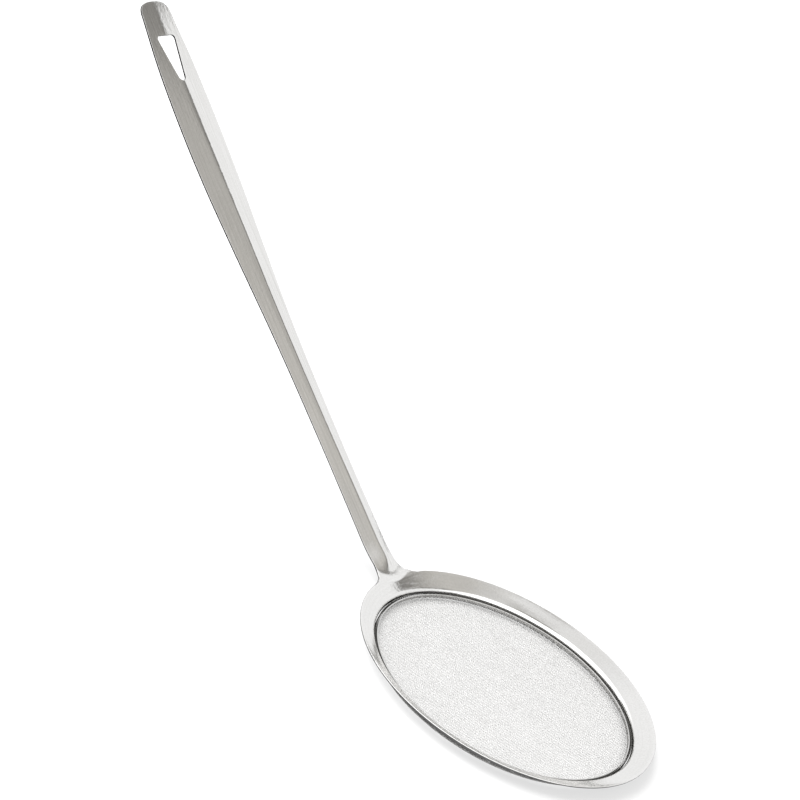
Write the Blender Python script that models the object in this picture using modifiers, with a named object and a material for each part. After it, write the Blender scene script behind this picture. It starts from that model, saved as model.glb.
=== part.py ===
"""Long-handled fine-mesh skimmer (strainer), modelled in metres with +Z up.

The origin is the centre of the mesh pan's flat underside. The bowl lies level in the XY plane,
and the handle leaves it along -X and rises to the hanging hole at its tip.
"""
import math

import bmesh
import bpy
from mathutils import Matrix

MM = 0.001

# Sheet-metal frame: rim and handle pressed from one blank.
SHEET = 0.7 * MM                 # sheet thickness
RIM_RADIUS = 57.5 * MM           # outer edge of the rim
RIM_HEIGHT = 6.7 * MM            # top of the rim's outer edge above the pan's underside
RIM_SLOPE = math.radians(24.5)   # fall of the rim towards the mesh
LIP_RADIUS = 50.6 * MM           # inner face of the short collar
LIP_BEND = 2.0 * MM              # radius of the bend between rim and collar, on its top face
COLLAR_FOOT = 1.5 * MM           # height of the collar's lower edge

# Handle, measured along its middle line from the outer edge of the rim.
HANDLE_LENGTH = 226.0 * MM
NECK_SLOPE = math.radians(14.0)
HANDLE_SLOPE = math.radians(30.0)
TIP_SLOPE = math.radians(33.2)
NECK_BEND_END = 17.0 * MM        # the upward bend at the neck ends here
TIP_BEND_START = 90.0 * MM       # the grip starts to curve up a little more here
FILLET_RADIUS = 8.0 * MM         # in plan, between the neck and the rim
NECK_BOW_END = 10.0 * MM         # the cross-sections follow the rim's arc up to here, less and less
NECK_HALF_WIDTH = 6.2 * MM
# Half widths and ridge heights as (distance, value) stations in mm.
HALF_WIDTHS = [(14.0, 6.2), (55.0, 6.0), (95.0, 6.8), (134.0, 9.4), (155.0, 10.7),
               (177.0, 11.1), (200.0, 10.4), (220.0, 8.4), (226.0, 7.9)]
RIDGE_HEIGHTS = [(1.5, 0.0), (4.0, 1.5), (8.0, 1.85), (30.0, 1.7), (70.0, 1.25), (105.0, 1.3),
                 (140.0, 1.55), (185.0, 1.0), (212.0, 0.45), (226.0, 0.15)]
TIP_START = 221.0 * MM           # the blunt round end starts here
TIP_EXPONENTS = (2.5, 3.0)       # of its superellipse, along and across the handle

# Hanging hole, wide towards the tip.
HOLE_TOP = 212.6 * MM
HOLE_BOTTOM = 194.8 * MM
HOLE_TOP_HALF_WIDTH = 5.1 * MM
HOLE_BOTTOM_RADIUS = 2.1 * MM
HOLE_CORNER_RADIUS = 1.4 * MM

# Mesh pan, and the ring pressed into it.
GAP = 0.3 * MM
MESH_THICKNESS = 0.5 * MM
PAN_CORNER = 0.8 * MM
PAN_TOP = 2.9 * MM
RING_THICKNESS = 0.5 * MM
RING_TOP = 2.6 * MM
RING_FOOT = 1.3 * MM

# Facets.
RIM_SEGMENTS = 88                # around the rim outside the neck
NECK_SEGMENTS = 8                # across the neck
RIM_ROWS = 3
BEND_STEPS = 5
HANDLE_ROWS = 56
TURN_SEGMENTS = 96


def clear_scene():
    for scene_object in list(bpy.data.objects):
        bpy.data.objects.remove(scene_object, do_unlink=True)


def new_collection(name):
    collection = bpy.data.collections.new(name)
    bpy.context.scene.collection.children.link(collection)
    return collection


def steel(name, colour, roughness):
    material = bpy.data.materials.new(name)
    material.use_nodes = True
    shader = material.node_tree.nodes["Principled BSDF"]
    shader.inputs["Base Color"].default_value = (*colour, 1.0)
    shader.inputs["Metallic"].default_value = 1.0
    shader.inputs["Roughness"].default_value = roughness
    return material


def smoothstep(x):
    x = min(max(x, 0.0), 1.0)
    return x * x * (3.0 - 2.0 * x)


def through(stations, distance):
    """Smooth curve through (distance, value) stations in mm, flat beyond both ends; metres out."""
    x = distance / MM
    if x <= stations[0][0]:
        return stations[0][1] * MM
    if x >= stations[-1][0]:
        return stations[-1][1] * MM
    slopes = []
    for i in range(len(stations)):
        before = stations[max(i - 1, 0)]
        after = stations[min(i + 1, len(stations) - 1)]
        slopes.append((after[1] - before[1]) / (after[0] - before[0]))
    for i in range(len(stations) - 1):
        x0, y0 = stations[i]
        x1, y1 = stations[i + 1]
        if x <= x1:
            span = x1 - x0
            t = (x - x0) / span
            rise = y0 * (1 + 2 * t) * (1 - t) ** 2 + y1 * t * t * (3 - 2 * t)
            lean = slopes[i] * span * t * (1 - t) ** 2 - slopes[i + 1] * span * t * t * (1 - t)
            return (rise + lean) * MM
    return stations[-1][1] * MM


def handle_slope(distance):
    slope = NECK_SLOPE + (HANDLE_SLOPE - NECK_SLOPE) * smoothstep(distance / NECK_BEND_END)
    late = (distance - TIP_BEND_START) / (HANDLE_LENGTH - TIP_BEND_START)
    return slope + (TIP_SLOPE - HANDLE_SLOPE) * min(max(late, 0.0), 1.0)


def handle_line(steps=452):
    """Middle line of the handle's side edges, as (distance, x, z) rows from the rim to the tip."""
    rows = [(0.0, -RIM_RADIUS, RIM_HEIGHT)]
    step = HANDLE_LENGTH / steps
    for i in range(steps):
        distance, x, z = rows[-1]
        slope = handle_slope(distance + step / 2)
        rows.append((distance + step, x - step * math.cos(slope), z + step * math.sin(slope)))
    return rows


HANDLE_LINE = handle_line()


def on_handle(distance):
    """Point (x, z) of the middle line at a distance from the rim's outer edge."""
    position = distance / HANDLE_LENGTH * (len(HANDLE_LINE) - 1)
    i = min(int(position), len(HANDLE_LINE) - 2)
    t = position - i
    _, x0, z0 = HANDLE_LINE[i]
    _, x1, z1 = HANDLE_LINE[i + 1]
    return x0 + (x1 - x0) * t, z0 + (z1 - z0) * t


def fillet_centre_x():
    """Distance from the bowl's axis to the centre of the neck's fillet arcs."""
    reach = RIM_RADIUS + FILLET_RADIUS
    return math.sqrt(reach ** 2 - (NECK_HALF_WIDTH + FILLET_RADIUS) ** 2)


def neck_angle():
    """Half angle at the bowl's axis between the two points where the fillets meet the rim."""
    return math.atan2(NECK_HALF_WIDTH + FILLET_RADIUS, fillet_centre_x())


def neck_bow(distance):
    """How far a cross-section's ends lie behind its middle, towards the bowl."""
    depth = RIM_RADIUS * (1.0 - math.cos(neck_angle()))
    return depth * (1.0 - smoothstep(distance / NECK_BOW_END))


def half_width(distance):
    width = through(HALF_WIDTHS, distance)
    if distance > TIP_START:
        end = min((distance - TIP_START) / (HANDLE_LENGTH - TIP_START), 1.0)
        return width * (1.0 - end ** TIP_EXPONENTS[0]) ** (1.0 / TIP_EXPONENTS[1])
    edge_x = -on_handle(distance)[0] - neck_bow(distance)
    if edge_x < fillet_centre_x():
        run = fillet_centre_x() - edge_x
        width = NECK_HALF_WIDTH + FILLET_RADIUS - math.sqrt(FILLET_RADIUS ** 2 - run ** 2)
    return width


def rim_profile():
    """Top face of the rim as (radius, height), from the collar's foot up to the outer edge."""
    centre_r = LIP_RADIUS + LIP_BEND
    tangent_r = centre_r - LIP_BEND * math.sin(RIM_SLOPE)
    tangent_z = RIM_HEIGHT - (RIM_RADIUS - tangent_r) * math.tan(RIM_SLOPE)
    centre_z = tangent_z - LIP_BEND * math.cos(RIM_SLOPE)
    profile = [(LIP_RADIUS, COLLAR_FOOT)]
    for i in range(BEND_STEPS + 1):
        turn = (math.pi / 2 - RIM_SLOPE) * i / BEND_STEPS
        profile.append((centre_r - LIP_BEND * math.cos(turn), centre_z + LIP_BEND * math.sin(turn)))
    for i in range(1, RIM_ROWS + 1):
        t = i / RIM_ROWS
        profile.append((tangent_r + (RIM_RADIUS - tangent_r) * t,
                        tangent_z + (RIM_HEIGHT - tangent_z) * t))
    return profile


def rim_angles():
    """Angles from the handle's side: NECK_SEGMENTS across the neck, then around the rim."""
    neck = neck_angle()
    angles = [-neck + 2 * neck * i / NECK_SEGMENTS for i in range(NECK_SEGMENTS)]
    rest = 2 * math.pi - 2 * neck
    angles += [neck + rest * i / RIM_SEGMENTS for i in range(RIM_SEGMENTS)]
    return angles


def rim_rows(mesh):
    """Rows of vertices of the rim's top face, one row for each point of its profile."""
    rows = []
    for radius, height in rim_profile():
        row = []
        for angle in rim_angles():
            row.append(mesh.verts.new((-radius * math.cos(angle), radius * math.sin(angle), height)))
        rows.append(row)
    return rows


def handle_stations():
    """Distances of the handle's cross-sections, closer together at the neck and at the tip."""
    neck = [0.9, 2.2, 3.6, 5.0, 6.6, 8.4, 10.6, 13.2, 16.4, 20.0, 24.0]
    corner = [220.0, 222.2, 223.6, 224.6, 225.2, 225.6, 225.9]
    middle_count = HANDLE_ROWS - len(neck) - len(corner)
    middle = []
    for i in range(1, middle_count + 1):
        middle.append(neck[-1] + (corner[0] - neck[-1]) * i / (middle_count + 1))
    return [value * MM for value in neck + middle + corner]


def handle_row(mesh, distance):
    """One cross-section of the handle's top face: a shallow roof with its ridge in the middle."""
    width = half_width(distance)
    ridge = through(RIDGE_HEIGHTS, distance)
    slope = handle_slope(distance)
    x, z = on_handle(distance)
    bow = neck_bow(distance)
    row = []
    for i in range(NECK_SEGMENTS + 1):
        across = -1 + 2 * i / NECK_SEGMENTS
        lift = ridge * (1 - abs(across))
        row.append(mesh.verts.new((x + bow * across ** 2 + lift * math.sin(slope),
                                   across * width, z + lift * math.cos(slope))))
    return row


def join_rows(mesh, lower, upper, closed):
    count = len(lower) if closed else len(lower) - 1
    for i in range(count):
        j = (i + 1) % len(lower)
        mesh.faces.new((lower[i], lower[j], upper[j], upper[i]))


def hole_cutter(collection):
    """Prism with the hanging hole's outline, standing square to the handle."""
    outline = []
    steps = 6
    for i in range(steps + 1):
        turn = math.pi / 2 * i / steps
        outline.append((HOLE_BOTTOM + HOLE_BOTTOM_RADIUS * (1 - math.cos(turn)),
                        HOLE_BOTTOM_RADIUS * math.sin(turn)))
    for i in range(steps + 1):
        turn = math.pi / 2 * i / steps
        outline.append((HOLE_TOP - HOLE_CORNER_RADIUS * (1 - math.sin(turn)),
                        HOLE_TOP_HALF_WIDTH - HOLE_CORNER_RADIUS * (1 - math.cos(turn))))
    outline += [(along, -across) for along, across in reversed(outline[1:])]
    middle = (HOLE_TOP + HOLE_BOTTOM) / 2
    curve = bpy.data.curves.new("hang_hole_outline", "CURVE")
    curve.dimensions = "2D"
    curve.fill_mode = "BOTH"
    curve.extrude = 4 * MM
    spline = curve.splines.new("POLY")
    spline.points.add(len(outline) - 1)
    for point, (along, across) in zip(spline.points, outline):
        point.co = (along - middle, across, 0.0, 1.0)
    spline.use_cyclic_u = True
    guide = bpy.data.objects.new("hang_hole_outline", curve)
    x, z = on_handle(middle)
    tilt = Matrix.Rotation(handle_slope(middle), 4, "Y")
    turn_round = Matrix.Rotation(math.pi, 4, "Z")
    guide.matrix_world = Matrix.Translation((x, 0.0, z)) @ tilt @ turn_round
    collection.objects.link(guide)
    bpy.context.view_layer.update()
    evaluated = guide.evaluated_get(bpy.context.evaluated_depsgraph_get())
    mesh = bpy.data.meshes.new_from_object(evaluated)
    cutter = bpy.data.objects.new("hang_hole_cutter", mesh)
    cutter.matrix_world = guide.matrix_world.copy()
    collection.objects.link(cutter)
    bpy.data.objects.remove(guide, do_unlink=True)
    tidy = bmesh.new()
    tidy.from_mesh(mesh)
    bmesh.ops.remove_doubles(tidy, verts=tidy.verts, dist=0.00001)
    bmesh.ops.recalc_face_normals(tidy, faces=tidy.faces)
    tidy.to_mesh(mesh)
    tidy.free()
    cutter.hide_render = True
    cutter.display_type = "WIRE"
    return cutter


def shade(part, material):
    part.data.materials.append(material)
    part.data.shade_smooth()
    part.data.set_sharp_from_angle(angle=math.radians(35))


def make_frame(parts, cutters):
    """Rim and handle: one pressed sheet, made as its top face and thickened downwards."""
    mesh = bmesh.new()
    rows = rim_rows(mesh)
    for lower, upper in zip(rows, rows[1:]):
        join_rows(mesh, lower, upper, True)
    lower = rows[-1][:NECK_SEGMENTS + 1]
    for distance in handle_stations():
        upper = handle_row(mesh, distance)
        join_rows(mesh, lower, upper, False)
        lower = upper
    bmesh.ops.recalc_face_normals(mesh, faces=mesh.faces)
    mesh.faces.ensure_lookup_table()
    if mesh.faces[-1].normal.z < 0:
        bmesh.ops.reverse_faces(mesh, faces=mesh.faces)
    data = bpy.data.meshes.new("frame")
    mesh.to_mesh(data)
    mesh.free()
    frame = bpy.data.objects.new("frame", data)
    parts.objects.link(frame)
    thicken = frame.modifiers.new("sheet", "SOLIDIFY")
    thicken.thickness = SHEET
    thicken.offset = -1.0
    thicken.use_even_offset = True
    cut = frame.modifiers.new("hang_hole", "BOOLEAN")
    cut.operation = "DIFFERENCE"
    cut.object = hole_cutter(cutters)
    shade(frame, steel("polished_steel", (0.72, 0.71, 0.69), 0.16))
    return frame


def turned(name, profile, parts, material):
    """Solid of revolution about Z from (radius, height) points."""
    mesh = bmesh.new()
    ends = [mesh.verts.new((radius, 0.0, height)) for radius, height in profile]
    for first, second in zip(ends, ends[1:]):
        mesh.edges.new((first, second))
    if profile[0][0] > 0.0:
        mesh.edges.new((ends[-1], ends[0]))
    data = bpy.data.meshes.new(name)
    mesh.to_mesh(data)
    mesh.free()
    part = bpy.data.objects.new(name, data)
    parts.objects.link(part)
    turn = part.modifiers.new("turn", "SCREW")
    turn.axis = "Z"
    turn.steps = TURN_SEGMENTS
    turn.render_steps = TURN_SEGMENTS
    turn.use_merge_vertices = True
    turn.merge_threshold = 0.00001
    turn.use_smooth_shade = True
    shade(part, material)
    return part


def make_pan(parts):
    """Woven mesh pan as a thin solid: a flat floor and a short upright wall."""
    outer = LIP_RADIUS - GAP
    inner = outer - MESH_THICKNESS
    inner_corner = PAN_CORNER - MESH_THICKNESS
    steps = 4
    profile = [(0.0, MESH_THICKNESS)]
    for i in range(steps + 1):
        turn = math.pi / 2 * i / steps
        profile.append((inner - inner_corner * (1 - math.sin(turn)),
                        PAN_CORNER - inner_corner * math.cos(turn)))
    profile.append((inner, PAN_TOP))
    profile.append((outer, PAN_TOP))
    for i in range(steps + 1):
        turn = math.pi / 2 * i / steps
        profile.append((outer - PAN_CORNER * (1 - math.cos(turn)),
                        PAN_CORNER * (1 - math.sin(turn))))
    profile.append((0.0, 0.0))
    return turned("mesh_pan", profile, parts, steel("woven_steel", (0.80, 0.79, 0.77), 0.35))


def make_ring(parts):
    """Flat band pressed inside the pan's wall, which holds the mesh against the collar."""
    outer = LIP_RADIUS - GAP - MESH_THICKNESS - GAP
    inner = outer - RING_THICKNESS
    profile = [(outer, RING_TOP), (outer, RING_FOOT), (inner, RING_FOOT), (inner, RING_TOP)]
    return turned("retaining_ring", profile, parts, steel("ring_steel", (0.70, 0.69, 0.67), 0.2))


def main():
    clear_scene()
    parts = new_collection("mesh_skimmer")
    cutters = new_collection("cutters")
    make_frame(parts, cutters)
    make_pan(parts)
    make_ring(parts)


main()
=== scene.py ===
"""The looks of the long-handled fine-mesh skimmer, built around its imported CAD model, in metres.

The pressed frame, the woven pan and the retaining ring are made again with what the plain CAD solids
leave out: rounded cut edges, a soft crest along the handle, real woven wires and polishing marks.
Noise scales are per metre, and directions in the plane are radians, unless a comment says otherwise.
"""
import math

import bmesh
import bpy
import numpy as np
from mathutils import Matrix, Vector
from mathutils.kdtree import KDTree


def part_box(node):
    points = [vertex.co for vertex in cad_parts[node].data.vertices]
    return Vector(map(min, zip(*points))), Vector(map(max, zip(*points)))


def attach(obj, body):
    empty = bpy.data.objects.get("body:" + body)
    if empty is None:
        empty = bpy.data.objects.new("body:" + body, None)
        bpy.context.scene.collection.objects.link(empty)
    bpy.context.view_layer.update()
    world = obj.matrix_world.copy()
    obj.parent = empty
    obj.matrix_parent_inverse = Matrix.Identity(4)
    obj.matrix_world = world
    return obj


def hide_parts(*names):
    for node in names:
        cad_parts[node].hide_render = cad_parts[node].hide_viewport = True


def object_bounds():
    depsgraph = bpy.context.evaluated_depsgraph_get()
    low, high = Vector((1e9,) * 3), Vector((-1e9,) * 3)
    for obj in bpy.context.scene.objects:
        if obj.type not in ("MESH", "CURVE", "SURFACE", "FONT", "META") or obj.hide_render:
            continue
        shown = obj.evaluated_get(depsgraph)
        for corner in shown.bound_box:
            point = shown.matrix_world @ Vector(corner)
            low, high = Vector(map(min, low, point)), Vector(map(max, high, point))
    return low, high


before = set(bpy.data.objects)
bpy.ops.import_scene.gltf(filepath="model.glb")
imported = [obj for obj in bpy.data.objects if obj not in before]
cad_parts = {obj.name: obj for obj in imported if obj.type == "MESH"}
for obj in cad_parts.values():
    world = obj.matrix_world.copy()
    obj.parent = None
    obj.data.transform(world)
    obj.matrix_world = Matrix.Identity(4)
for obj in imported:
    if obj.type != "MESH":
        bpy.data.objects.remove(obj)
cad_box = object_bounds()

MM = 0.001

# Sheet-metal frame, as the CAD model has it.
SHEET = 0.7 * MM
RIM_SLOPE = math.radians(24.5)
RIM_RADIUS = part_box("frame")[1].y - SHEET * math.sin(RIM_SLOPE)
RIM_HEIGHT = 6.7 * MM
COLLAR_RADIUS = 50.6 * MM
COLLAR_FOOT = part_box("frame")[0].z
LIP_BEND = 2.0 * MM
HANDLE_LENGTH = 226.0 * MM
NECK_SLOPE = math.radians(14.0)
HANDLE_SLOPE = math.radians(30.0)
TIP_SLOPE = math.radians(33.2)
NECK_BEND_END = 17.0 * MM
TIP_BEND_START = 90.0 * MM
FILLET_RADIUS = 8.0 * MM
NECK_BOW_END = 10.0 * MM
NECK_HALF_WIDTH = 6.2 * MM
HALF_WIDTHS = [(14.0, 6.2), (55.0, 6.0), (95.0, 6.8), (134.0, 9.4), (155.0, 10.7),
               (177.0, 11.1), (200.0, 10.4), (220.0, 8.4), (226.0, 7.9)]
RIDGE_HEIGHTS = [(1.2, 0.0), (5.6, 1.5), (9.0, 1.85), (30.0, 1.7), (70.0, 1.25), (105.0, 1.3),
                 (140.0, 1.55), (185.0, 1.0), (212.0, 0.45), (226.0, 0.15)]
TIP_START = 221.0 * MM
TIP_EXPONENTS = (2.5, 3.0)      # of the tip's superellipse, along and across the handle
CREST_SOFTNESS = 1.00 * MM      # rounding of the handle's middle ridge
EDGE_ROUNDING = 0.38 * MM       # worn corners of the rim's cut edge
EDGE_STEPS = 4
HANDLE_EDGE_SHARE = 0.20        # the handle's edges are rounded by this share of that
EDGE_SHARE_FROM = 58.0 * MM     # the rounding changes over this stretch, measured from the bowl's axis
EDGE_SHARE_RUN = 4.0 * MM
EDGE_ANGLE = math.radians(55)   # sharper corners than this are cut edges
TRIM_BAND = 0.2 * MM            # the rim's top outer points lie within this of its outer edge
TRIM_SLACK = 0.05 * MM
NECK_FADE = 0.06                # angle over which the neck's treatment gives way to the rim's

# The neck's flatter face starts at a curved crease a little inside the rim's outer edge.
CREASE_RADIUS = 55.3 * MM
CREASE_BOW = 20.0               # per metre
CREASE_RUN = 2.2 * MM
CREASE_RECOVERY = 9.0 * MM
NOSE_BOW = 2.0 * MM             # how far the ridge's nose curves back towards the edges
NOSE_RUN = 14.0 * MM
RIM_CURL = 0.12 * MM            # the flange steepens towards its outer edge
RIM_CURL_POWER = 6.0
SOFT_FROM = 56.0 * MM           # the bends between rim and neck are relaxed between these radii
SOFT_TO = 58.6 * MM
SOFT_FADES = (1.5 * MM, 1.6 * MM)
SOFT_WEIGHT = 0.5
SOFT_ROUNDS = 8

CROWN = 0.12 * MM               # rise of the flange's arched stretch, and the angles where it runs
CROWN_FROM = 0.16
CROWN_TO = 0.90
CROWN_FADES = (0.25, 0.6)

HAIRLINE_ROUND = 0.6 * MM       # sets how long the polishing hairlines run around the rim
WORN_WIDTH = 1.0 * MM           # reach of the wear along cut edges

# Hanging hole: the hull of one circle towards the bowl and two towards the tip.
HOLE_BOTTOM = 194.8 * MM
HOLE_BOTTOM_RADIUS = 2.1 * MM
HOLE_TOP = 212.6 * MM
HOLE_TOP_HALF_WIDTH = 5.1 * MM
HOLE_CORNER_RADIUS = 1.4 * MM

# Grid of the frame's top face. Distances run along the handle from the rim's outer edge.
LINE_STEPS = 452
NECK_ROWS = np.arange(0.4, 30.0, 0.5) * MM
GRIP_ROWS = np.arange(30.0, 187.5, 0.9) * MM
HOLE_LEAD_IN = 188.0 * MM       # straight rows turn into the hole's rows from here
LEAD_IN_ROWS = 9
HOLE_ROWS = 28
HOLE_LEAD_OUT = 217.5 * MM      # and back into straight ones up to here
LEAD_OUT_ROWS = 8
TIP_ROWS = 10
TIP_CORNER_SHARE = 0.015        # pushes the tip's columns outwards, away from its middle line
NECK_COLUMNS = 32
HOLE_COLUMNS = 8                # each side of the middle, within the neck's columns
RIM_COLUMNS = 360
COLLAR_ROWS = 3
BEND_ROWS = 12
FLANGE_ROWS = 14

# Retaining ring.
RING_THICKNESS = 0.5 * MM
RING_CORNER = 0.12 * MM
RING_CORNER_STEPS = 4
RING_COLUMNS = 400

# Woven pan.
PITCH = 0.6 * MM
WIRE_RADIUS = 0.075 * MM
STEPS_PER_PITCH = 2
WIRE_SIDES = 5
PAN_CORNER = 0.55 * MM          # bend between floor and wall, on the cloth's middle surface
PAN_BASE = 0.18 * MM            # height of that surface on the floor
PAN_WALL_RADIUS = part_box("mesh_pan")[1].y - PAN_BASE
PAN_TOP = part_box("mesh_pan")[1].z
WIRES_PER_PIECE = 56
CLOTH_BULGE = 0.15 * MM         # highest rise of the uneven cloth
CLOTH_DRIFT = 0.08 * MM         # sideways wander of its wires
CLOTH_CALM = (38.0 * MM, 11.0 * MM)     # both fade out from this radius, over this run
CLOTH_WAVES = ((31.0, 0.4), (23.0, 1.9), (17.0, 2.7), (12.0, 1.2), (9.0, 0.1))  # lengths in mm, directions
CLOTH_PHASES = (0.3, 1.1, 2.2)  # so that the pattern differs along x, y and z
CLOTH_MARGIN = 1.5 * MM         # the outermost wires would be mere stubs on the wall, so they are left out
HEM_FOOT = 0.45 * MM            # the cloth's cut end is folded back inside the wall, down to here
HEM_INSET = 0.18 * MM


def smoothstep(x):
    x = np.clip(x, 0.0, 1.0)
    return x * x * (3.0 - 2.0 * x)


def through(stations, distance):
    """Smooth curve through (distance, value) stations in mm, flat beyond both ends; metres out."""
    at, value = np.array(stations).T * MM
    slope = np.gradient(value, at)
    slope[1:-1] = (value[2:] - value[:-2]) / (at[2:] - at[:-2])
    x = np.clip(distance, at[0], at[-1])
    i = np.clip(np.searchsorted(at, x, side="right") - 1, 0, len(at) - 2)
    span = at[i + 1] - at[i]
    t = (x - at[i]) / span
    rise = value[i] * (1 + 2 * t) * (1 - t) ** 2 + value[i + 1] * t * t * (3 - 2 * t)
    return rise + span * (slope[i] * t * (1 - t) ** 2 - slope[i + 1] * t * t * (1 - t))


def handle_slope(distance):
    slope = NECK_SLOPE + (HANDLE_SLOPE - NECK_SLOPE) * smoothstep(distance / NECK_BEND_END)
    late = np.clip((distance - TIP_BEND_START) / (HANDLE_LENGTH - TIP_BEND_START), 0.0, 1.0)
    return slope + (TIP_SLOPE - HANDLE_SLOPE) * late


LINE_S = np.linspace(0.0, HANDLE_LENGTH, LINE_STEPS + 1)
LINE_STEP = LINE_S[1]
LINE_SLOPES = handle_slope(LINE_S[:-1] + LINE_STEP / 2)
LINE_X = np.concatenate([[0.0], np.cumsum(np.cos(LINE_SLOPES))]) * -LINE_STEP - RIM_RADIUS
LINE_Z = np.concatenate([[0.0], np.cumsum(np.sin(LINE_SLOPES))]) * LINE_STEP + RIM_HEIGHT

FILLET_CENTRE = math.sqrt((RIM_RADIUS + FILLET_RADIUS) ** 2 - (NECK_HALF_WIDTH + FILLET_RADIUS) ** 2)
NECK_ANGLE = math.atan2(NECK_HALF_WIDTH + FILLET_RADIUS, FILLET_CENTRE)


def neck_bow(distance):
    """How far a cross-section's ends lie behind its middle, towards the bowl."""
    return RIM_RADIUS * (1.0 - math.cos(NECK_ANGLE)) * (1.0 - smoothstep(distance / NECK_BOW_END))


def half_width(distance):
    width = through(HALF_WIDTHS, distance)
    edge_x = -np.interp(distance, LINE_S, LINE_X) - neck_bow(distance)
    run = np.clip(FILLET_CENTRE - edge_x, 0.0, FILLET_RADIUS)
    fillet = NECK_HALF_WIDTH + FILLET_RADIUS - np.sqrt(FILLET_RADIUS ** 2 - run ** 2)
    width = np.where(run > 0.0, fillet, width)
    end = np.clip((distance - TIP_START) / (HANDLE_LENGTH - TIP_START), 0.0, 1.0)
    return width * (1.0 - end ** TIP_EXPONENTS[0]) ** (1.0 / TIP_EXPONENTS[1])


def tip_distance(across):
    """Distance along the handle of the tip's outline at a share of the half width."""
    bulge = (1.0 - np.abs(across) ** TIP_EXPONENTS[1]) ** (1.0 / TIP_EXPONENTS[0])
    return TIP_START + (HANDLE_LENGTH - TIP_START) * bulge


def handle_surface(distance, lateral):
    """Points of the handle's top face: a shallow roof whose crest and nose are softly rounded."""
    roof = through(HALF_WIDTHS, distance)
    soft = CREST_SOFTNESS / roof
    share = np.clip(np.abs(lateral) / roof, 0.0, 1.0)
    fall = (np.sqrt(share ** 2 + soft ** 2) - soft) / (np.sqrt(1.0 + soft ** 2) - soft)
    nose = NOSE_BOW * share ** 2 * (1.0 - smoothstep(distance / NOSE_RUN))
    lift = through(RIDGE_HEIGHTS, distance - nose) * (1.0 - fall)
    slope = handle_slope(distance)
    bow = neck_bow(distance) * (lateral / np.maximum(half_width(distance), 1e-6)) ** 2
    x = np.interp(distance, LINE_S, LINE_X) + bow + lift * np.sin(slope)
    z = np.interp(distance, LINE_S, LINE_Z) + lift * np.cos(slope)
    return np.stack([x, lateral, z], axis=-1)


def rim_profile():
    """Top face of the rim as (radius, height), from the collar's foot up to the outer edge."""
    centre_r = COLLAR_RADIUS + LIP_BEND
    tangent_r = centre_r - LIP_BEND * math.sin(RIM_SLOPE)
    tangent_z = RIM_HEIGHT - (RIM_RADIUS - tangent_r) * math.tan(RIM_SLOPE)
    centre_z = tangent_z - LIP_BEND * math.cos(RIM_SLOPE)
    collar = [(COLLAR_RADIUS, COLLAR_FOOT + (centre_z - COLLAR_FOOT) * i / COLLAR_ROWS)
              for i in range(COLLAR_ROWS)]
    turns = [(math.pi / 2 - RIM_SLOPE) * i / BEND_ROWS for i in range(BEND_ROWS + 1)]
    bend = [(centre_r - LIP_BEND * math.cos(t), centre_z + LIP_BEND * math.sin(t)) for t in turns]
    flange = []
    for i in range(1, FLANGE_ROWS + 1):
        share = i / FLANGE_ROWS
        curl = RIM_CURL * (share ** RIM_CURL_POWER - share)
        flange.append((tangent_r + (RIM_RADIUS - tangent_r) * share,
                       tangent_z + (RIM_HEIGHT - tangent_z) * share + curl))
    return collar + bend + flange


def hole_side(points=400):
    """The hole's right side from its bottom to its top middle, and the lengths of its two corners."""
    bottom = np.array([HOLE_BOTTOM + HOLE_BOTTOM_RADIUS, 0.0])
    top = np.array([HOLE_TOP - HOLE_CORNER_RADIUS, HOLE_TOP_HALF_WIDTH - HOLE_CORNER_RADIUS])
    reach = top - bottom
    tangent = math.atan2(reach[1], reach[0]) + math.acos(
        (HOLE_BOTTOM_RADIUS - HOLE_CORNER_RADIUS) / np.hypot(*reach))
    first = np.linspace(math.pi, tangent, points)
    second = np.linspace(tangent, 0.0, points)
    line = np.concatenate([
        bottom + HOLE_BOTTOM_RADIUS * np.stack([np.cos(first), np.sin(first)], axis=1),
        top + HOLE_CORNER_RADIUS * np.stack([np.cos(second), np.sin(second)], axis=1),
        [[HOLE_TOP, 0.0]]])
    length = np.concatenate([[0.0], np.cumsum(np.hypot(*np.diff(line, axis=0).T))])
    low_corner = HOLE_BOTTOM_RADIUS * math.pi / 4
    high_corner = length[-2] - HOLE_CORNER_RADIUS * math.pi / 4
    return line, length, low_corner, high_corner


def on_side(line, length, at):
    return np.stack([np.interp(at, length, line[:, 0]), np.interp(at, length, line[:, 1])], axis=-1)


def mirrored(right):
    """A row of (distance, lateral) points from its right half, which starts at the middle."""
    return np.concatenate([right[:0:-1] * [1.0, -1.0], right])


def straight_row(distance):
    across = np.linspace(-1.0, 1.0, NECK_COLUMNS + 1)
    return np.stack([np.full_like(across, distance), across * half_width(distance)], axis=1)


def blend_rows(first, last, count):
    """The rows between two rows, and the last one."""
    return [first + (last - first) * (i / count) for i in range(1, count + 1)]


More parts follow.
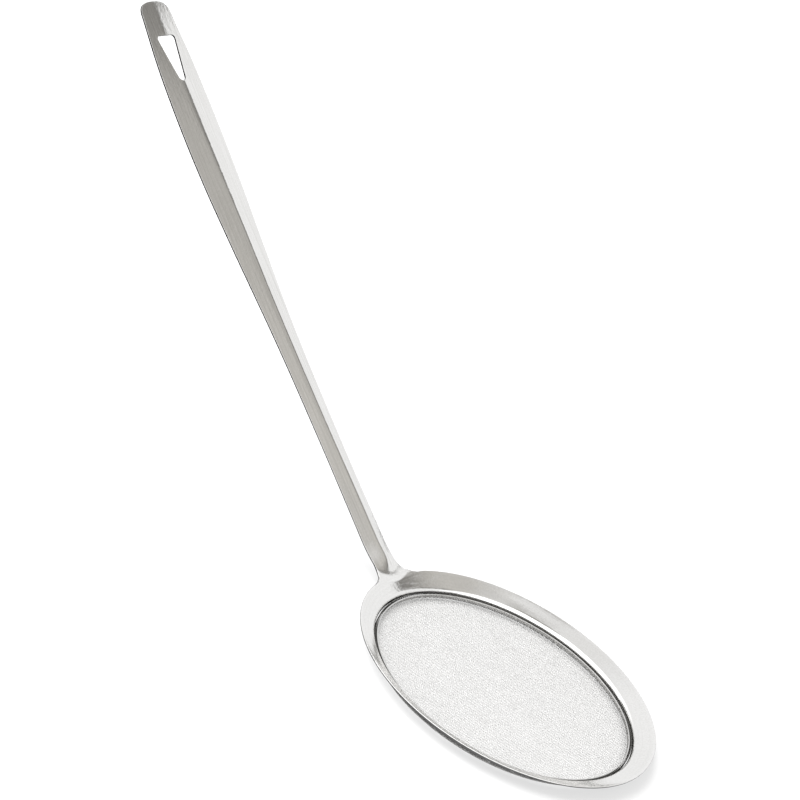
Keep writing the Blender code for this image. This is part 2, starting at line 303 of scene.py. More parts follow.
def handle_rows():
    """Rows of (distance, lateral) points over the handle, and the first and last row of the hole."""
    rows = [straight_row(s) for s in np.concatenate([NECK_ROWS, GRIP_ROWS])]
    half = NECK_COLUMNS // 2
    line, length, low, high = hole_side()

    def hole_row(inner, distance):
        edge = np.array([distance, half_width(distance)])
        shares = np.linspace(0.0, 1.0, half - HOLE_COLUMNS + 1)[1:, None]
        return mirrored(np.concatenate([inner, inner[-1] + (edge - inner[-1]) * shares]))

    low_inner = on_side(line, length, np.linspace(0.0, low, HOLE_COLUMNS + 1))
    low_row = hole_row(low_inner, low_inner[-1][0])
    rows += blend_rows(straight_row(HOLE_LEAD_IN), low_row, LEAD_IN_ROWS)
    first_hole = len(rows) - 1
    high_inner = on_side(line, length, np.linspace(length[-1], high, HOLE_COLUMNS + 1))
    for i in range(1, HOLE_ROWS):
        corner = on_side(line, length, low + (high - low) * i / HOLE_ROWS)
        distance = low_inner[-1][0] + (high_inner[-1][0] - low_inner[-1][0]) * i / HOLE_ROWS
        rows.append(hole_row(np.repeat(corner[None], HOLE_COLUMNS + 1, axis=0), distance))
    rows.append(hole_row(high_inner, high_inner[-1][0]))
    last_hole = len(rows) - 1
    rows += blend_rows(rows[-1], straight_row(HOLE_LEAD_OUT), LEAD_OUT_ROWS)
    across = np.linspace(-1.0, 1.0, NECK_COLUMNS + 1)
    turned = np.sin(across * math.pi / 2) * (1.0 - TIP_CORNER_SHARE) + TIP_CORNER_SHARE * np.sign(across)
    base = through(HALF_WIDTHS, tip_distance(turned))
    end = np.stack([tip_distance(turned), turned * base], axis=1)
    rows += blend_rows(rows[-1], end, TIP_ROWS)
    return rows, first_hole, last_hole


def new_object(name, vertices, faces):
    mesh = bpy.data.meshes.new(name)
    mesh.from_pydata(vertices, [], faces)
    mesh.validate()
    mesh.shade_smooth()
    made = bpy.data.objects.new(name, mesh)
    bpy.context.scene.collection.objects.link(made)
    return made


def grid_faces(lower, upper, skip=()):
    """Quads between two rows of vertex numbers, but for the columns to skip."""
    return [(lower[i], lower[i + 1], upper[i + 1], upper[i])
            for i in range(len(lower) - 1) if i not in skip]


def relax(points, edges, weight, rounds):
    """Smooths points towards their neighbours' mean, each by its own weight."""
    near = np.zeros_like(points)
    count = np.zeros(len(points))
    np.add.at(count, edges.ravel(), 1)
    for _ in range(rounds):
        near[:] = 0.0
        np.add.at(near, edges[:, 0], points[edges[:, 1]])
        np.add.at(near, edges[:, 1], points[edges[:, 0]])
        points += weight[:, None] * (near / np.maximum(count, 1)[:, None] - points)
    return points


def make_frame():
    """Rim and handle in one pressed sheet: its top face as one grid, thickened downwards."""
    neck = np.linspace(-NECK_ANGLE, NECK_ANGLE, NECK_COLUMNS + 1)
    around = np.linspace(NECK_ANGLE, 2 * math.pi - NECK_ANGLE, RIM_COLUMNS + 1)[1:-1]
    angles = np.concatenate([neck, around])
    ring = len(angles)
    points = []
    faces = []
    rows = []
    for radius, height in rim_profile():
        rows.append(np.arange(len(points) * ring, (len(points) + 1) * ring))
        points.append(np.stack([-radius * np.cos(angles), radius * np.sin(angles),
                                np.full(ring, height)], axis=1))
    points = np.concatenate(points)
    for lower, upper in zip(rows, rows[1:]):
        faces += grid_faces(np.append(lower, lower[0]), np.append(upper, upper[0]))
    plan, first_hole, last_hole = handle_rows()
    lower = rows[-1][:NECK_COLUMNS + 1]
    half = NECK_COLUMNS // 2
    hole_columns = range(half - HOLE_COLUMNS, half + HOLE_COLUMNS)
    for number, row in enumerate(plan):
        added = handle_surface(row[:, 0], row[:, 1])
        upper = np.arange(len(points), len(points) + len(added))
        in_hole = first_hole < number <= last_hole
        faces += grid_faces(lower, upper, hole_columns if in_hole else ())
        points = np.concatenate([points, added])
        lower = upper
    used = np.zeros(len(points), bool)
    used[np.array(faces).ravel()] = True
    renumber = np.cumsum(used) - 1
    points = points[used]
    faces = renumber[np.array(faces)]
    points = soften_neck(crown_flange(fold_neck(points)), faces)
    shell = new_object("frame_sheet", points.tolist(), faces.tolist())
    mark_worn(shell.data, points, faces)
    thicken = shell.modifiers.new("sheet", "SOLIDIFY")
    thicken.thickness = SHEET
    thicken.offset = -1.0
    thicken.use_even_offset = True
    return round_cut_edges(shell)


def round_cut_edges(shell):
    """Makes the thickened sheet final, trims the rim's edge upright and rounds the cut edges a little."""
    view = bpy.context.evaluated_depsgraph_get()
    solid = bpy.data.meshes.new_from_object(shell.evaluated_get(view))
    work = bmesh.new()
    work.from_mesh(solid)
    weight = work.edges.layers.float.new("bevel_weight_edge")
    overhang = SHEET * math.sin(RIM_SLOPE)
    for vertex in work.verts:
        x, y, z = vertex.co
        radius = math.hypot(x, y)
        side = abs(math.atan2(y, -x))
        if z > RIM_HEIGHT - TRIM_BAND and 0.0 <= radius - RIM_RADIUS + TRIM_SLACK < TRIM_BAND:
            out = overhang * float(smoothstep((side - NECK_ANGLE) / NECK_FADE)) / radius
            vertex.co = (x + x * out, y + y * out, z + out * radius * math.tan(RIM_SLOPE))
    for edge in work.edges:
        if len(edge.link_faces) == 2 and edge.calc_face_angle() > EDGE_ANGLE:
            middle = (edge.verts[0].co + edge.verts[1].co) / 2
            on_handle = smoothstep((math.hypot(middle.x, middle.y) - EDGE_SHARE_FROM) / EDGE_SHARE_RUN)
            edge[weight] = 1.0 - (1.0 - HANDLE_EDGE_SHARE) * float(on_handle)
    work.to_mesh(solid)
    work.free()
    shell.modifiers.clear()
    shell.data = solid
    edges = shell.modifiers.new("cut_edges", "BEVEL")
    edges.width = EDGE_ROUNDING
    edges.segments = EDGE_STEPS
    edges.limit_method = "WEIGHT"
    edges.use_clamp_overlap = False
    edges.harden_normals = True
    return shell


def outline_of(faces):
    """All edges of a quad grid once, and how many faces use each."""
    pairs = np.concatenate([faces[:, [0, 1]], faces[:, [1, 2]], faces[:, [2, 3]], faces[:, [3, 0]]])
    pairs.sort(axis=1)
    return np.unique(pairs, axis=0, return_counts=True)


def mark_worn(mesh, points, faces):
    """Stores how close each point is to a cut edge, which is where the sheet wears."""
    edges, uses = outline_of(faces)
    rim = np.unique(edges[uses == 1])
    tree = KDTree(len(rim))
    for i, number in enumerate(rim):
        tree.insert(points[number], i)
    tree.balance()
    near = np.array([tree.find(point)[2] for point in points])
    worn = np.clip(1.0 - near / WORN_WIDTH, 0.0, 1.0)
    mesh.attributes.new("worn", "FLOAT", "POINT").data.foreach_set("value", worn.astype(np.float32))


def fold_neck(points):
    """Lets the neck leave the flange at its crease, lower than the plain bend at the rim's edge."""
    beyond = -points[:, 0] - CREASE_RADIUS - CREASE_BOW * points[:, 1] ** 2
    gain = math.tan(RIM_SLOPE) - math.tan(NECK_SLOPE)
    drop = gain * np.clip(beyond, 0.0, CREASE_RUN)
    drop *= 1.0 - smoothstep((beyond - CREASE_RUN) / CREASE_RECOVERY)
    points[:, 2] -= drop
    return points


def crown_flange(points):
    """Arches the flange a little beside the neck, where pressing the neck has drawn it."""
    radius = np.hypot(points[:, 0], points[:, 1])
    side = np.abs(np.arctan2(points[:, 1], -points[:, 0]))
    inner = COLLAR_RADIUS + LIP_BEND / 2
    share = np.clip((radius - inner) / (RIM_RADIUS - inner), 0.0, 1.0)
    reach = smoothstep((side - CROWN_FROM) / CROWN_FADES[0])
    reach *= 1.0 - smoothstep((side - CROWN_TO) / CROWN_FADES[1])
    points[:, 2] += CROWN * np.sin(math.pi * share) * reach
    return points


def soften_neck(points, faces):
    """Rounds the bends between rim, neck and ridge, which the two grids leave sharp."""
    edges, uses = outline_of(faces)
    rim = np.zeros(len(points), bool)
    rim[edges[uses == 1].ravel()] = True
    radius = np.hypot(points[:, 0], points[:, 1])
    side = np.abs(np.arctan2(points[:, 1], -points[:, 0]))
    near = smoothstep((radius - SOFT_FROM) / SOFT_FADES[0])
    near *= 1 - smoothstep((radius - SOFT_TO) / SOFT_FADES[1])
    near *= 1 - smoothstep((side - NECK_ANGLE) / NECK_FADE)
    weight = np.where(rim, 0.0, SOFT_WEIGHT * near)
    return relax(points, edges, weight, SOFT_ROUNDS)


def make_ring():
    """The retaining ring: a narrow band with rounded edges, turned about the bowl's axis."""
    low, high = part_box("retaining_ring")
    outer = high.y
    inner = outer - RING_THICKNESS
    corner = RING_CORNER
    columns = RING_COLUMNS
    profile = []
    corners = [(outer - corner, low.z + corner, -90), (outer - corner, high.z - corner, 0),
               (inner + corner, high.z - corner, 90), (inner + corner, low.z + corner, 180)]
    for centre_r, centre_z, start in corners:
        for i in range(RING_CORNER_STEPS + 1):
            turn = math.radians(start + 90.0 * i / RING_CORNER_STEPS)
            profile.append((centre_r + corner * math.cos(turn), centre_z + corner * math.sin(turn)))
    angles = [2 * math.pi * i / columns for i in range(columns)]
    vertices = [(r * math.cos(a), r * math.sin(a), z) for a in angles for r, z in profile]
    count = len(profile)
    faces = []
    for i in range(columns):
        for j in range(count):
            here, there = i * count, (i + 1) % columns * count
            k = (j + 1) % count
            faces.append((here + j, there + j, there + k, here + k))
    return new_object("retaining_ring_band", vertices, faces)


def cloth_to_pan(x, y):
    """Where a point of the flat cloth lies on the pressed pan, and the cloth's normal there."""
    radius = np.hypot(x, y)
    corner_start = PAN_WALL_RADIUS - PAN_CORNER
    turn = np.clip((radius - corner_start) / PAN_CORNER, 0.0, math.pi / 2)
    wall = np.clip(radius - corner_start - PAN_CORNER * math.pi / 2, 0.0, None)
    out = np.where(radius < corner_start, radius, corner_start + PAN_CORNER * np.sin(turn))
    height = PAN_BASE + PAN_CORNER * (1 - np.cos(turn)) + wall
    scale = out / np.maximum(radius, 1e-9)
    place = np.stack([x * scale, y * scale, height], axis=-1)
    lean = -np.sin(turn) / np.maximum(radius, 1e-9)
    return place, np.stack([x * lean, y * lean, np.cos(turn)], axis=-1)


def waves(x, y, phase):
    """A smooth uneven pattern between -1 and 1, with waves of about 10 to 30 mm."""
    total = 0.0
    for n, (length, turn) in enumerate(CLOTH_WAVES):
        along = x * math.cos(turn + phase) + y * math.sin(turn + phase)
        shift = 1.7 * n + 3.0 * phase
        total = total + np.sin(2 * math.pi * along / (length * MM) + shift) / len(CLOTH_WAVES)
    return total


def uneven(place):
    """Shifts points of the pan's floor as worn cloth lies: bulged here and there, its wires adrift."""
    x, y = place[:, 0], place[:, 1]
    inside = 1.0 - smoothstep((np.hypot(x, y) - CLOTH_CALM[0]) / CLOTH_CALM[1])
    moved = place.copy()
    moved[:, 0] += CLOTH_DRIFT * inside * waves(x, y, CLOTH_PHASES[0])
    moved[:, 1] += CLOTH_DRIFT * inside * waves(x, y, CLOTH_PHASES[1])
    moved[:, 2] += CLOTH_BULGE * inside * (0.5 + 0.5 * waves(x, y, CLOTH_PHASES[2]))
    return moved


def cloth_reach(offset):
    """How far a wire at an offset from the middle runs each way, up to the pan's top."""
    reach = PAN_WALL_RADIUS - PAN_CORNER + PAN_CORNER * math.pi / 2
    reach += PAN_TOP - PAN_BASE - PAN_CORNER - WIRE_RADIUS
    return math.sqrt(reach ** 2 - offset ** 2)


def cloth_runs(numbers):
    """The wires of the pan as (offset, number, places along it)."""
    step = PITCH / STEPS_PER_PITCH
    runs = []
    for number in numbers:
        offset = (number + 0.5) * PITCH
        half = cloth_reach(offset)
        count = int(half / step)
        along = np.concatenate([[-half], np.arange(-count, count + 1) * step, [half]])
        runs.append((offset, number, along[np.concatenate([[True], np.diff(along) > step * 0.2])]))
    return runs


def hem_runs(numbers):
    """The wire ends of the folded hem, two for each wire, between those of the wall."""
    foot = PAN_WALL_RADIUS - PAN_CORNER + PAN_CORNER * math.pi / 2 + HEM_FOOT - PAN_CORNER
    runs = []
    for number in numbers:
        offset = number * PITCH
        half = cloth_reach(offset)
        start = math.sqrt(max(foot ** 2 - offset ** 2, 0.0))
        count = 2 + int((half - start) / (PITCH / STEPS_PER_PITCH))
        for side in (-1.0, 1.0):
            runs.append((offset, number, np.linspace(side * start, side * half, count)))
    return runs


def wire(offset, number, along, crosswise, inset):
    """Centre line and cloth normals of one wire, crimped over and under the ones it crosses."""
    crimp = WIRE_RADIUS * np.cos(math.pi * (along - offset) / PITCH + math.pi * number) * (-1) ** number
    across = np.full_like(along, offset)
    x, y = (across, along) if crosswise else (along, across)
    place, normal = cloth_to_pan(x, y)
    place = uneven(place)
    radius = np.hypot(place[:, 0], place[:, 1])
    place[:, :2] *= (1.0 - inset / np.maximum(radius, MM))[:, None]
    return place + normal * (crimp if not crosswise else -crimp)[:, None], normal


def make_wires(name, runs, crosswise, inset=0.0):
    """One piece of neighbouring wires, each a closed round bar."""
    vertices = []
    faces = []
    base = 0
    turns = 2 * math.pi * np.arange(WIRE_SIDES) / WIRE_SIDES
    for offset, number, along in runs:
        place, normal = wire(offset, number, along, crosswise, inset)
        ahead = np.gradient(place, axis=0)
        side = np.cross(ahead, normal)
        side /= np.linalg.norm(side, axis=1)[:, None]
        up = np.cross(side, ahead)
        up /= np.linalg.norm(up, axis=1)[:, None]
        ring = (np.cos(turns)[None, :, None] * side[:, None] + np.sin(turns)[None, :, None] * up[:, None])
        vertices.append((place[:, None] + WIRE_RADIUS * ring).reshape(-1, 3))
        count = len(place)
        i, j = np.meshgrid(np.arange(count - 1), np.arange(WIRE_SIDES), indexing="ij")
        k = (j + 1) % WIRE_SIDES
        quads = np.stack([i * WIRE_SIDES + j, i * WIRE_SIDES + k,
                          (i + 1) * WIRE_SIDES + k, (i + 1) * WIRE_SIDES + j], axis=-1)
        faces += (quads.reshape(-1, 4) + base).tolist()
        faces.append([base + n for n in reversed(range(WIRE_SIDES))])
        faces.append([base + (count - 1) * WIRE_SIDES + n for n in range(WIRE_SIDES)])
        base += count * WIRE_SIDES
    return new_object(name, np.concatenate(vertices), faces)


def make_cloth():
    """The woven pan as warp and weft pieces, split so that each stays a moderate size."""
    reach = PAN_WALL_RADIUS + PAN_TOP - PAN_BASE - PAN_CORNER
    most = int((reach - CLOTH_MARGIN) / PITCH)
    numbers = list(range(-most, most))
    made = []
    for crosswise, family in ((False, "warp"), (True, "weft")):
        groups = [numbers[i:i + WIRES_PER_PIECE] for i in range(0, len(numbers), WIRES_PER_PIECE)]
        for i, group in enumerate(groups):
            made.append(make_wires(f"mesh_{family}_{i + 1}", cloth_runs(group), crosswise))
        made.append(make_wires(f"mesh_hem_{family}", hem_runs(numbers), crosswise, HEM_INSET))
    return made


class Graph:
    """Short calls for building a node tree."""

    def __init__(self, tree):
        self.tree = tree

    def add(self, kind, inputs=None, **settings):
        node = self.tree.nodes.new(kind)
        for name, value in settings.items():
            setattr(node, name, value)
        for name, value in (inputs or {}).items():
            self.put(node.inputs[name], value)
        return node

    def put(self, socket, value):
        if isinstance(value, bpy.types.NodeSocket):
            self.tree.links.new(value, socket)
        else:
            socket.default_value = value

    def math(self, operation, *values):
        return self.add("ShaderNodeMath", dict(enumerate(values)), operation=operation).outputs[0]

    def vector(self, x, y, z):
        return self.add("ShaderNodeCombineXYZ", {"X": x, "Y": y, "Z": z}).outputs[0]

    def vector_math(self, operation, *values, output="Vector"):
        return self.add("ShaderNodeVectorMath", dict(enumerate(values)), operation=operation).outputs[output]

    def dot(self, vector, other):
        return self.vector_math("DOT_PRODUCT", vector, other, output="Value")

    def scale(self, vector, factor):
        return self.add("ShaderNodeVectorMath", {0: vector, "Scale": factor}, operation="SCALE").outputs[0]

    def distance_to_axis(self, x, y):
        squares = self.math("ADD", self.math("MULTIPLY", x, x), self.math("MULTIPLY", y, y))
        return self.math("SQRT", squares)

    def range(self, value, low, high, out_low=0.0, out_high=1.0):
        inputs = {"Value": value, "From Min": low, "From Max": high, "To Min": out_low, "To Max": out_high}
        return self.add("ShaderNodeMapRange", inputs, interpolation_type="SMOOTHSTEP").outputs["Result"]

    def noise(self, vector, scale, detail=2.0, roughness=0.5):
        inputs = {"Vector": vector, "Scale": scale, "Detail": detail, "Roughness": roughness}
        return self.add("ShaderNodeTexNoise", inputs).outputs["Fac"]

    def mix(self, share, first, second):
        inputs = {"Factor": share, 6: first, 7: second}
        return self.add("ShaderNodeMix", inputs, data_type="RGBA").outputs[2]

    def ramp(self, value, stops):
        node = self.add("ShaderNodeValToRGB", {"Fac": value})
        points = node.color_ramp.elements
        while len(points) < len(stops):
            points.new(1.0)
        for point, (place, colour) in zip(points, stops):
            point.position = place
            point.color = (*colour, 1.0)
        return node.outputs["Color"]


# Noises of the steel: scale per metre, detail and, where it isn't a half, roughness.
HAIRLINES = (1800.0, 4.0, 0.65)
SMUDGES = (55.0, 4.0, 0.6)
BLOTCHES = (16.0, 2.0)
PEEL = (620.0, 2.0)                     # the rolled sheet's faint waviness
NICKS = (2600.0, 2.0)
GRAIN = (1500.0, 1.0)
PRESS_MARKS = (900.0, 3.0, 0.6)
STEEL_TINTS = ((0.81, 0.805, 0.795, 1.0), (0.85, 0.847, 0.84, 1.0))
SMUDGE_TINT = (0.76, 0.75, 0.735, 1.0)
LINE_TINT = (0.70, 0.695, 0.68, 1.0)
WORN_TINT = (0.88, 0.875, 0.87, 1.0)
# Painted shade: the ring's steel is a darker copy of the sheet's, for the shade in the recess between lip
# and ring.
RING_PAINTED_SHADE = 0.80
HANDLE_FROM = (57.0 * MM, 61.0 * MM)    # the rim's hairlines turn into the handle's between these radii
HANDLE_HAIRLINE_SCALE = 0.012           # the handle's are this much longer than the noise's grain
HAIRLINES_ON_RIM = 0.2
HAIRLINES_MORE_ON_HANDLE = 0.65
STEEL_ROUGHNESS = (0.045, 0.11)         # clean and smudged, and what else adds to it
HAIRLINE_ROUGHNESS = 0.03
WORN_ROUGHNESS = 0.05
PRESS_ROUGHNESS = 0.20
HAIRLINE_HEIGHT = 12.0                  # heights of the relief in micrometres
PEEL_HEIGHT = 28.0
NICK_HEIGHT = 6.0
MICROMETRE = 1e-6
PRESS_MARKS_AT = (-50.0 * MM, 13.0 * MM, 5.0 * MM)      # left by the press where the neck starts
PRESS_MARKS_RUN = (1.0, 0.14, 1.0)
PRESS_MARKS_REACH = (6.0 * MM, 17.0 * MM)


def polished_steel(name, with_handle, shade_scale=1.0):
    """Mirror-polished sheet: hairlines along the polishing direction, smudges, worn cut edges."""
    material = bpy.data.materials.new(name)
    material.use_nodes = True
    graph = Graph(material.node_tree)
    shader = material.node_tree.nodes["Principled BSDF"]
    place = graph.add("ShaderNodeTexCoord").outputs["Object"]
    x, y, z = graph.add("ShaderNodeSeparateXYZ", {0: place}).outputs
    radius = graph.distance_to_axis(x, y)
    turn = graph.math("DIVIDE", HAIRLINE_ROUND, radius)
    way = graph.vector(graph.math("MULTIPLY", x, turn), graph.math("MULTIPLY", y, turn),
                       graph.math("ADD", radius, z))
    if with_handle:
        long_way = graph.vector(graph.math("MULTIPLY", x, HANDLE_HAIRLINE_SCALE), y,
                                graph.math("MULTIPLY", z, HANDLE_HAIRLINE_SCALE))
        on_handle = graph.range(radius, *HANDLE_FROM)
        way = graph.mix(on_handle, way, long_way)
    hairlines = graph.noise(way, *HAIRLINES)
    smudges = graph.noise(place, *SMUDGES)
    nicks = graph.noise(place, *NICKS)
    worn = graph.add("ShaderNodeAttribute", attribute_name="worn").outputs["Fac"]

    tint = graph.mix(graph.noise(place, *BLOTCHES), *STEEL_TINTS)
    tint = graph.mix(graph.range(smudges, 0.50, 0.80, 0.0, 0.35), tint, SMUDGE_TINT)
    lines = graph.range(hairlines, 0.42, 0.68)
    if with_handle:
        strength = graph.math("MULTIPLY_ADD", on_handle, HAIRLINES_MORE_ON_HANDLE, HAIRLINES_ON_RIM)
        lines = graph.math("MULTIPLY", lines, strength)
        tint = graph.mix(graph.range(graph.noise(place, *GRAIN), 0.35, 0.65, 0.0, 0.30), tint, LINE_TINT)
    tint = graph.mix(lines, tint, LINE_TINT)
    nicked = graph.math("MULTIPLY", worn, graph.range(nicks, 0.35, 0.65, 0.2, 0.8))
    tint = graph.mix(nicked, tint, WORN_TINT)
    # A darker copy of the steel: its colour carries painted shade.
    if shade_scale < 1.0:
        tint = graph.scale(tint, shade_scale)
    graph.put(shader.inputs["Base Color"], tint)
    shader.inputs["Metallic"].default_value = 1.0

    gloss = graph.range(smudges, 0.35, 0.75, *STEEL_ROUGHNESS)
    gloss = graph.math("ADD", gloss, graph.range(hairlines, 0.35, 0.75, 0.0, HAIRLINE_ROUGHNESS))
    gloss = graph.math("ADD", gloss, graph.math("MULTIPLY", worn, WORN_ROUGHNESS))
    if with_handle:
        offset = graph.vector_math("SUBTRACT", place, PRESS_MARKS_AT)
        away = graph.vector_math("LENGTH", offset, output="Value")
        streaked = graph.vector_math("MULTIPLY", place, PRESS_MARKS_RUN)
        marks = graph.range(graph.noise(streaked, *PRESS_MARKS), 0.38, 0.66)
        marks = graph.math("MULTIPLY", marks, graph.range(away, *PRESS_MARKS_REACH, 1.0, 0.0))
        gloss = graph.math("MULTIPLY_ADD", marks, PRESS_ROUGHNESS, gloss)
    graph.put(shader.inputs["Roughness"], gloss)

    height = graph.math("MULTIPLY", hairlines, HAIRLINE_HEIGHT)
    height = graph.math("MULTIPLY_ADD", graph.noise(place, *PEEL), PEEL_HEIGHT, height)
    height = graph.math("MULTIPLY_ADD", graph.math("MULTIPLY", nicks, worn), NICK_HEIGHT, height)
    bump = graph.add("ShaderNodeBump", {"Height": height, "Distance": MICROMETRE, "Strength": 1.0})
    graph.put(shader.inputs["Normal"], bump.outputs["Normal"])
    return material


WIRE_PATCHES = (70.0, 3.0, 0.6)
WIRE_GRAINS = (1500.0, 2.0)
WIRE_DRAW_MARKS = (6000.0, 2.0)
WIRE_DRAW_HEIGHT = 2.0 * MICROMETRE
WIRE_TINTS = ((0.80, 0.79, 0.775, 1.0), (0.90, 0.895, 0.885, 1.0))
WIRE_STAIN = (0.72, 0.71, 0.69, 1.0)
WIRE_ROUGHNESS = (0.16, 0.30)
WALL_SHADE_HEIGHTS = (0.30 * MM, 0.65 * MM)     # the pan's wall is painted darker than its floor, as painted shade under the rim
WALL_SHADE_RADII = (48.8 * MM, 49.2 * MM)
PAINTED_WALL_SHADE = (0.13, 0.127, 0.12, 1.0)


def woven_steel(name):
    """Drawn wire: slightly duller than the sheet, with stained patches, fine draw marks and painted shade on
    the pan's wall.
    """
    material = bpy.data.materials.new(name)
    material.use_nodes = True
    graph = Graph(material.node_tree)
    shader = material.node_tree.nodes["Principled BSDF"]
    place = graph.add("ShaderNodeTexCoord").outputs["Object"]
    grains = graph.noise(place, *WIRE_GRAINS)
    tint = graph.mix(graph.noise(place, *WIRE_PATCHES), *WIRE_TINTS)
    tint = graph.mix(graph.range(grains, 0.35, 0.75, 0.0, 0.35), tint, WIRE_STAIN)
    x, y, z = graph.add("ShaderNodeSeparateXYZ", {0: place}).outputs
    # Painted shade: the wall's wires are tinted near black where the rim shades them.
    on_wall = graph.range(graph.distance_to_axis(x, y), *WALL_SHADE_RADII)
    wall_shade = graph.math("MULTIPLY", graph.range(z, *WALL_SHADE_HEIGHTS), on_wall)
    tint = graph.mix(wall_shade, tint, PAINTED_WALL_SHADE)
    graph.put(shader.inputs["Base Color"], tint)
    shader.inputs["Metallic"].default_value = 1.0
    graph.put(shader.inputs["Roughness"], graph.range(grains, 0.3, 0.7, *WIRE_ROUGHNESS))
    marks = graph.noise(place, *WIRE_DRAW_MARKS)
    bump = graph.add("ShaderNodeBump", {"Height": marks, "Distance": WIRE_DRAW_HEIGHT})
    graph.put(shader.inputs["Normal"], bump.outputs["Normal"])
    return material


# Camera. It looks along +Y turned left by its azimuth, down by its elevation, and its roll turns the
# picture clockwise.
CAMERA_AZIMUTH = math.radians(25.1)
CAMERA_ELEVATION = math.radians(25.96)
CAMERA_ROLL = math.radians(28.82)
CAMERA_DISTANCE = 1.369
CAMERA_LENS = 175.9
CAMERA_AIM = Vector((12.4, -7.8, 5.8)) * MM     # from the middle of the object's box


def make_camera():
    a, e = CAMERA_AZIMUTH, CAMERA_ELEVATION
    right = Vector((math.cos(a), math.sin(a), 0.0))
    look = Vector((-math.sin(a) * math.cos(e), math.cos(a) * math.cos(e), -math.sin(e)))
    up = right.cross(look)
    turn = Matrix.Rotation(-CAMERA_ROLL, 3, look)
    right, up = turn @ right, turn @ up
    aim = (cad_box[0] + cad_box[1]) / 2 + CAMERA_AIM
    data = bpy.data.cameras.new("camera")
    data.sensor_width = 36.0
    data.lens = CAMERA_LENS
    data.clip_start = 0.05
    data.clip_end = 20.0
    camera = bpy.data.objects.new("camera", data)
    place = aim - look * CAMERA_DISTANCE
    axes = Matrix((right, up, -look)).transposed()
    camera.matrix_world = Matrix.Translation(place) @ axes.to_4x4()
    bpy.context.scene.collection.objects.link(camera)
    bpy.context.scene.camera = camera


# Plain pale floor. The steel sees it as much darker than the camera does, which exposes for the steel.
FLOOR_REACH = 3.0
FLOOR_PALE = 0.17
FLOOR_ROUGHNESS = 0.9
FLOOR_PAINTED_GLOW = (0.97, 0.65)               # painted glow, the floor shining by itself: under the pan, as a painted pool of light, and evenly elsewhere
FLOOR_PAINTED_GLOW_FADE = (46.0 * MM, 50.0 * MM)
FLOOR_IN_STEEL = (0.16, 0.03)           # near the bowl and far from it
FLOOR_FADE = (0.10, 0.26)               # metres from the bowl's middle
WHITE = (1.0, 1.0, 1.0, 1.0)
LIGHT_SIZE = 1.2
LIGHT_PLACE = (-0.75, -0.15, 0.80)      # camera right, away from the camera, up
LIGHT_POWER = 63.0


def studio_axes():
    """The camera's right and forward directions on the floor."""
    a = CAMERA_AZIMUTH
    return Vector((math.cos(a), math.sin(a), 0.0)), Vector((-math.sin(a), math.cos(a), 0.0))


def make_floor():
    right, ahead = studio_axes()
    corners = [(-FLOOR_REACH, -FLOOR_REACH), (FLOOR_REACH, -FLOOR_REACH),
               (FLOOR_REACH, FLOOR_REACH), (-FLOOR_REACH, FLOOR_REACH)]
    data = bpy.data.meshes.new("floor")
    data.from_pydata([right * x + ahead * y for x, y in corners], [], [(0, 1, 2, 3)])
    floor = bpy.data.objects.new("floor", data)
    bpy.context.scene.collection.objects.link(floor)
    material = bpy.data.materials.new("floor")
    material.use_nodes = True
    shader = material.node_tree.nodes["Principled BSDF"]
    shader.inputs["Base Color"].default_value = (FLOOR_PALE, FLOOR_PALE, FLOOR_PALE, 1.0)
    shader.inputs["Roughness"].default_value = FLOOR_ROUGHNESS
    shader.inputs["Specular IOR Level"].default_value = 0.0
    graph = Graph(material.node_tree)
    place = graph.add("ShaderNodeTexCoord").outputs["Object"]
    away = graph.vector_math("LENGTH", place, output="Value")
    dark = graph.range(away, *FLOOR_FADE, *FLOOR_IN_STEEL)
    dim = graph.add("ShaderNodeEmission", {"Color": WHITE, "Strength": dark}).outputs[0]
    mirrored = graph.add("ShaderNodeLightPath").outputs["Is Glossy Ray"]
    # Painted glow: no lamp lights this; the floor is made to shine by itself, brighter under the pan.
    glow_pool = graph.range(away, *FLOOR_PAINTED_GLOW_FADE, *FLOOR_PAINTED_GLOW)
    painted_glow = graph.add("ShaderNodeEmission", {"Color": WHITE, "Strength": glow_pool}).outputs[0]
    lit = graph.add("ShaderNodeAddShader", {0: shader.outputs[0], 1: painted_glow}).outputs[0]
    both = graph.add("ShaderNodeMixShader", {0: mirrored, 1: lit, 2: dim}).outputs[0]
    graph.put(material.node_tree.nodes["Material Output"].inputs["Surface"], both)
    data.materials.append(material)


def make_light():
    """A large soft light for the floor, above and to the left; the steel sees the studio instead."""
    right, ahead = studio_axes()
    data = bpy.data.lights.new("overhead", "AREA")
    data.shape = "SQUARE"
    data.size = LIGHT_SIZE
    data.energy = LIGHT_POWER
    light = bpy.data.objects.new("overhead", data)
    x, y, z = LIGHT_PLACE
    light.location = right * x + ahead * y + Vector((0.0, 0.0, z))
    light.rotation_euler = (-light.location).to_track_quat("-Z", "Y").to_euler()
    light.visible_glossy = False
    light.visible_camera = False
    bpy.context.scene.collection.objects.link(light)


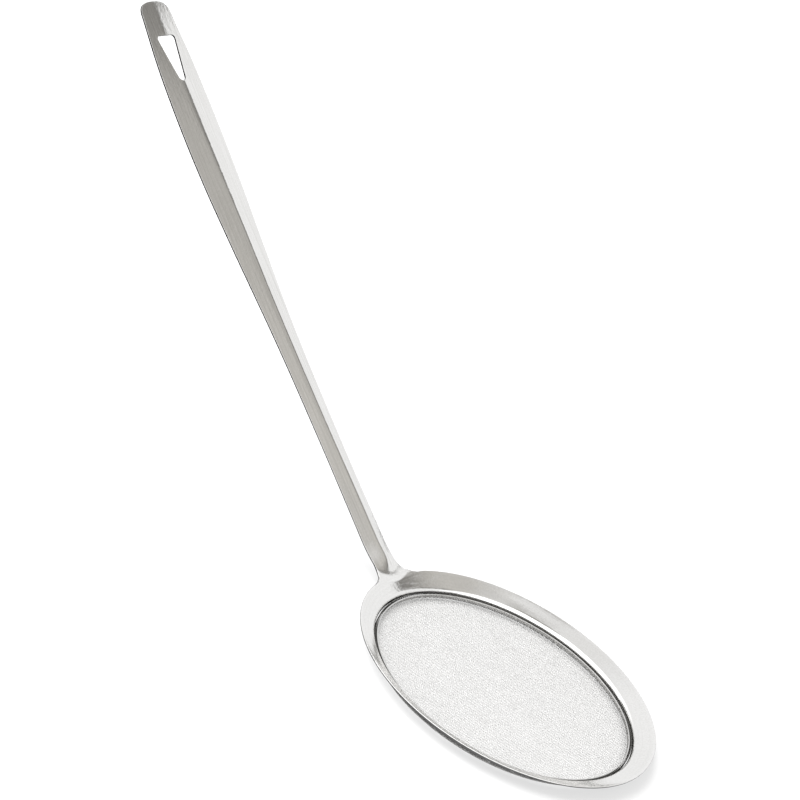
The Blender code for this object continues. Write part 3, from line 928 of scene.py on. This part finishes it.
# The studio around the steel, which stands still in the world. Each ramp holds (elevation in degrees,
# brightness): beyond the object and to its right, the same to its left, and the side that the picture
# is taken from. A pale wall ends in a sharp edge. Azimuths are degrees from straight ahead, to the right.
STUDIO_RIGHT = [(-90, 1.0), (0, 1.0), (33.8, 1.04), (34.6, 0.20), (40, 0.30), (44, 0.44), (49, 0.56),
                (54, 0.60), (60, 0.66), (66, 0.80), (74, 0.86), (82, 0.42), (90, 0.25)]
STUDIO_LEFT = [(-90, 1.0), (0, 1.0), (36, 1.04), (50, 1.03), (60, 0.94), (68, 0.90), (76, 0.92), (83, 0.42),
               (90, 0.25)]
STUDIO_NEAR = [(-90, 0.03), (0, 0.04), (8, 0.06), (12, 1.8), (80, 1.8), (83, 0.35), (90, 0.25)]
RIGHT_FROM = (24.0, 31.0)
NEAR_FROM_RIGHT = (85.0, 115.0)
NEAR_FROM_LEFT = (50.0, 75.0)
SHADE_TINT = (1.03, 1.0, 0.945)         # shades darker than this level grow warmer over this run
SHADE_LEVEL = 0.95
SHADE_RUN = 0.3
CLUTTER = (6.0, 3.0)                    # uneven brightness above the right wall
CLUTTER_LEVELS = (0.85, 1.04)
CLUTTER_FROM = (0.70, 0.71)             # as a share of the way from straight down to straight up
WORLD_SCALE = 2.0                       # the ramps hold a share of this brightness


def studio_ramp(graph, elevation, stops):
    points = []
    for angle, level in stops:
        shade = min(1.0, max(0.0, (SHADE_LEVEL - level) / SHADE_RUN))
        colour = [level / WORLD_SCALE * (1.0 + (t - 1.0) * shade) for t in SHADE_TINT]
        points.append(((angle + 90.0) / 180.0, colour))
    return graph.ramp(elevation, points)


def turned_past(graph, azimuth, degrees):
    return graph.range(azimuth, *(math.radians(angle) for angle in degrees))


def make_world():
    world = bpy.data.worlds.new("studio")
    bpy.context.scene.world = world
    world.use_nodes = True
    graph = Graph(world.node_tree)
    right, ahead = studio_axes()
    way = graph.add("ShaderNodeTexCoord").outputs["Generated"]
    up = graph.dot(way, (0.0, 0.0, 1.0))
    elevation = graph.math("MULTIPLY_ADD", graph.math("ARCSINE", up), 1.0 / math.pi, 0.5)
    azimuth = graph.math("ARCTAN2", graph.dot(way, right), graph.dot(way, ahead))
    side = turned_past(graph, azimuth, RIGHT_FROM)
    leftwards = graph.math("MULTIPLY", azimuth, -1.0)
    behind = graph.math("MAXIMUM", turned_past(graph, azimuth, NEAR_FROM_RIGHT),
                        turned_past(graph, leftwards, NEAR_FROM_LEFT))
    studio = graph.mix(side, studio_ramp(graph, elevation, STUDIO_LEFT),
                       studio_ramp(graph, elevation, STUDIO_RIGHT))
    studio = graph.mix(behind, studio, studio_ramp(graph, elevation, STUDIO_NEAR))
    clutter = graph.range(graph.noise(way, *CLUTTER), 0.3, 0.7, *CLUTTER_LEVELS)
    overhead = graph.math("MULTIPLY", graph.range(elevation, *CLUTTER_FROM), side)
    clutter = graph.math("MULTIPLY_ADD", overhead, graph.math("SUBTRACT", clutter, 1.0), 1.0)
    studio = graph.scale(studio, clutter)
    seen = graph.add("ShaderNodeLightPath").outputs["Is Camera Ray"]
    white = 1.0 / WORLD_SCALE           # what shows beyond the floor's edge
    studio = graph.mix(seen, studio, (white, white, white, 1.0))
    background = world.node_tree.nodes["Background"]
    graph.put(background.inputs["Color"], studio)
    background.inputs["Strength"].default_value = WORLD_SCALE


make_camera()
sheet = make_frame()
sheet.data.materials.append(polished_steel("polished_steel", True))
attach(sheet, "root")
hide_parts("frame")
band = make_ring()
band.data.materials.append(polished_steel("ring_steel", False, RING_PAINTED_SHADE))
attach(band, "root")
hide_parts("retaining_ring")
wires_steel = woven_steel("woven_steel")
for piece in make_cloth():
    piece.data.materials.append(wires_steel)
    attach(piece, "root")
    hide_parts("mesh_pan")
make_floor()
make_light()
make_world()
bpy.context.scene.view_settings.view_transform = "Standard"
